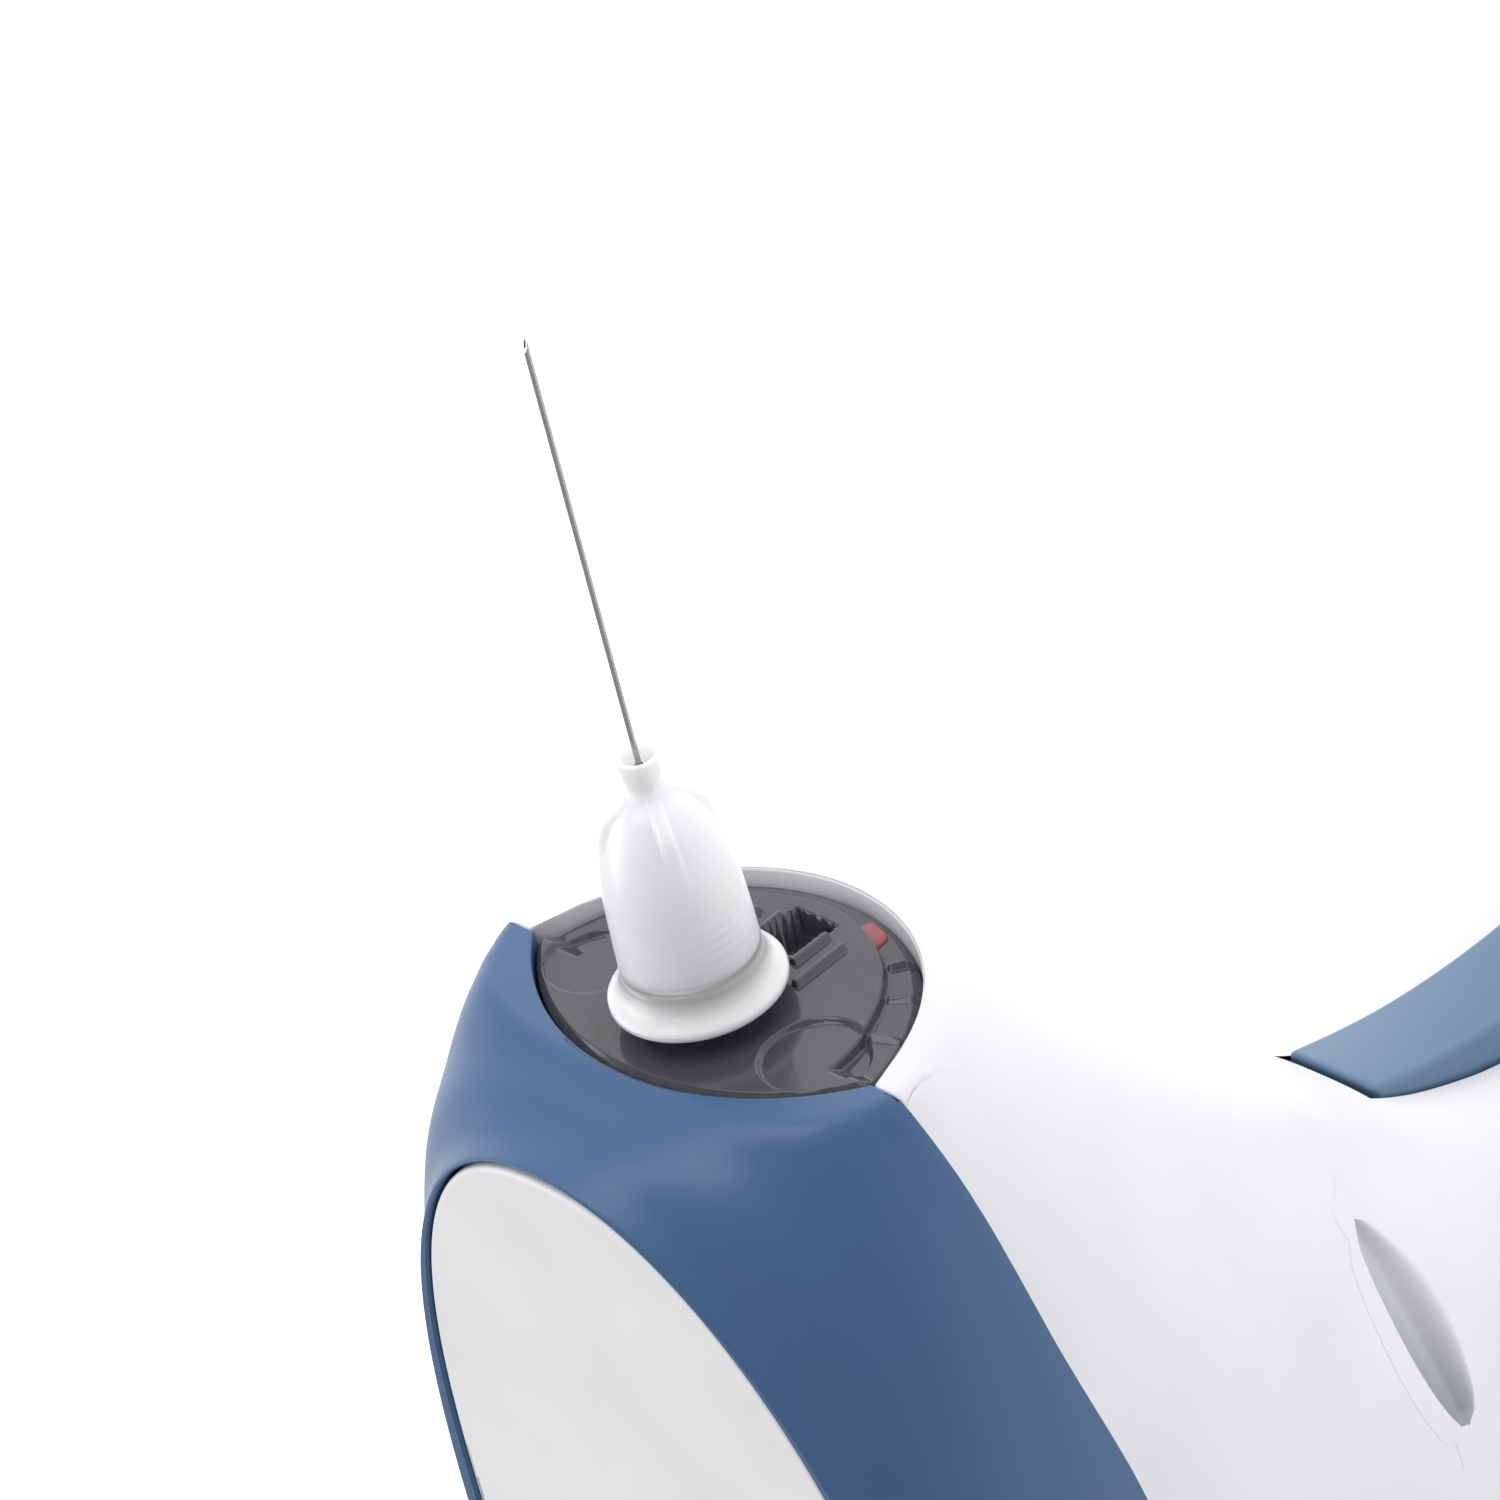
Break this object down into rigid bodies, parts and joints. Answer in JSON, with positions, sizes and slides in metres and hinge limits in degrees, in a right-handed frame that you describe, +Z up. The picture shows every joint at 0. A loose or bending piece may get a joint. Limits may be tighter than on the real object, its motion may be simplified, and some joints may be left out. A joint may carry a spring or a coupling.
{
  "type": "aspirating dental syringe",
  "caption": "Cordless pistol-grip dental cartridge injector: moulded shells, smoked nose cap, screw-on needle, motor-driven aspirating push rod and trigger.",
  "frame": {"origin": "centre of the flat foot under the grip", "axes": "+Z up the grip, +X towards the needle, +Y to the user's left"},
  "size_m": [0.1571, 0.0418, 0.1324],
  "materials": {
    "needle_steel": "polished",
    "hub_plastic": "translucent",
    "glue": "cured",
    "smoke_clear": "smoked clear moulding",
    "black_rubber": "matte",
    "red_plastic": "gloss",
    "blue_plastic": "satin fine grain",
    "white_plastic": "satin fine grain",
    "panel_plastic": "satin",
    "display_glass": "gloss",
    "button_plastic": "satin",
    "circuit_green": "solder mask",
    "holder_metal": "brushed",
    "clear_glass": "clear",
    "aluminium": "satin",
    "seal_rubber": "matte",
    "frame_plastic": "matte",
    "brass": "satin",
    "battery_wrap": "shrink wrap"
  },
  "bodies": {
    "housing": {"upper_shell": "blue_plastic", "left_grip_shell": "white_plastic", "right_grip_shell": "white_plastic", "shell_screws": "needle_steel", "hatch_pin": "needle_steel", "rear_panel": "panel_plastic", "display_lens": "display_glass", "button_board": "circuit_green", "cartridge_holder": "holder_metal", "cartridge_glass": "clear_glass", "cartridge_cap": "aluminium", "cartridge_seal": "seal_rubber", "rod_guide": "frame_plastic", "nut_bearings": "holder_metal", "gear_frame": "frame_plastic", "motor_gearbox": "brass", "motor": "holder_metal", "circuit_board": "circuit_green", "trigger_cradle": "frame_plastic", "trigger_pin": "needle_steel", "trigger_spring": "needle_steel", "trigger_switch": "frame_plastic", "battery_cell": "battery_wrap", "battery_contacts": "brass", "base_cap": "white_plastic", "base_foot": "black_rubber", "charge_contacts": "brass", "lock_indicator": "red_plastic", "nose_seal": "black_rubber"},
    "nose": {"nose_cap": "smoke_clear"},
    "needle": {"needle_hub": "hub_plastic", "needle_cannula": "needle_steel", "hub_glue": "glue"},
    "hatch": {"cartridge_hatch": "panel_plastic"},
    "power_key": {"power_button": "button_plastic"},
    "speed_key": {"speed_button": "button_plastic"},
    "nut": {"drive_nut_gear": "brass"},
    "motor_shaft": {"pinion": "brass"},
    "rod": {"push_rod": "needle_steel", "harpoon": "needle_steel", "stopper": "seal_rubber"},
    "trigger_body": {"trigger": "blue_plastic"}
  },
  "joints": [
    {"name": "nose_cap_off", "type": "slide", "parent": "housing", "child": "nose", "axis": [1, 0, 0], "range_m": [0, 0.015]},
    {"name": "needle_off", "type": "slide", "parent": "nose", "child": "needle", "axis": [1, 0, 0], "range_m": [0, 0.02]},
    {"name": "hatch_open", "type": "hinge", "parent": "housing", "child": "hatch", "pos_m": [-0.008, 0, 0.1268], "axis": [0, -1, 0], "range_deg": [0, 70]},
    {"name": "power_press", "type": "slide", "parent": "housing", "child": "power_key", "axis": [0, 0, -1], "range_m": [0, 0.0005], "stiffness_N_per_m": 1500, "springref_m": -0.0003},
    {"name": "speed_press", "type": "slide", "parent": "housing", "child": "speed_key", "axis": [0, 0, -1], "range_m": [0, 0.0005], "stiffness_N_per_m": 1500, "springref_m": -0.0003},
    {"name": "nut_spin", "type": "hinge", "parent": "housing", "child": "nut", "pos_m": [-0.014, 0, 0.12], "axis": [1, 0, 0], "range_deg": [-60.5, 2401]},
    {"name": "pinion_spin", "type": "hinge", "parent": "housing", "child": "motor_shaft", "pos_m": [-0.014, 0, 0.1108], "axis": [1, 0, 0], "range_deg": [-3122, 79]},
    {"name": "rod_drive", "type": "slide", "parent": "housing", "child": "rod", "axis": [1, 0, 0], "range_m": [-0.001, 0.04]},
    {"name": "trigger_pull", "type": "hinge", "parent": "housing", "child": "trigger_body", "pos_m": [0.0209, 0, 0.0808], "axis": [0, 1, 0], "range_deg": [0, 7], "stiffness_Nm_per_rad": 0.4, "springref_deg": -5.73}
  ],
  "couplings": [
    {"joint": "nut_spin", "follows": "rod_drive", "rad_per_m": 1047.2},
    {"joint": "pinion_spin", "follows": "rod_drive", "rad_per_m": -1361.4}
  ]
}
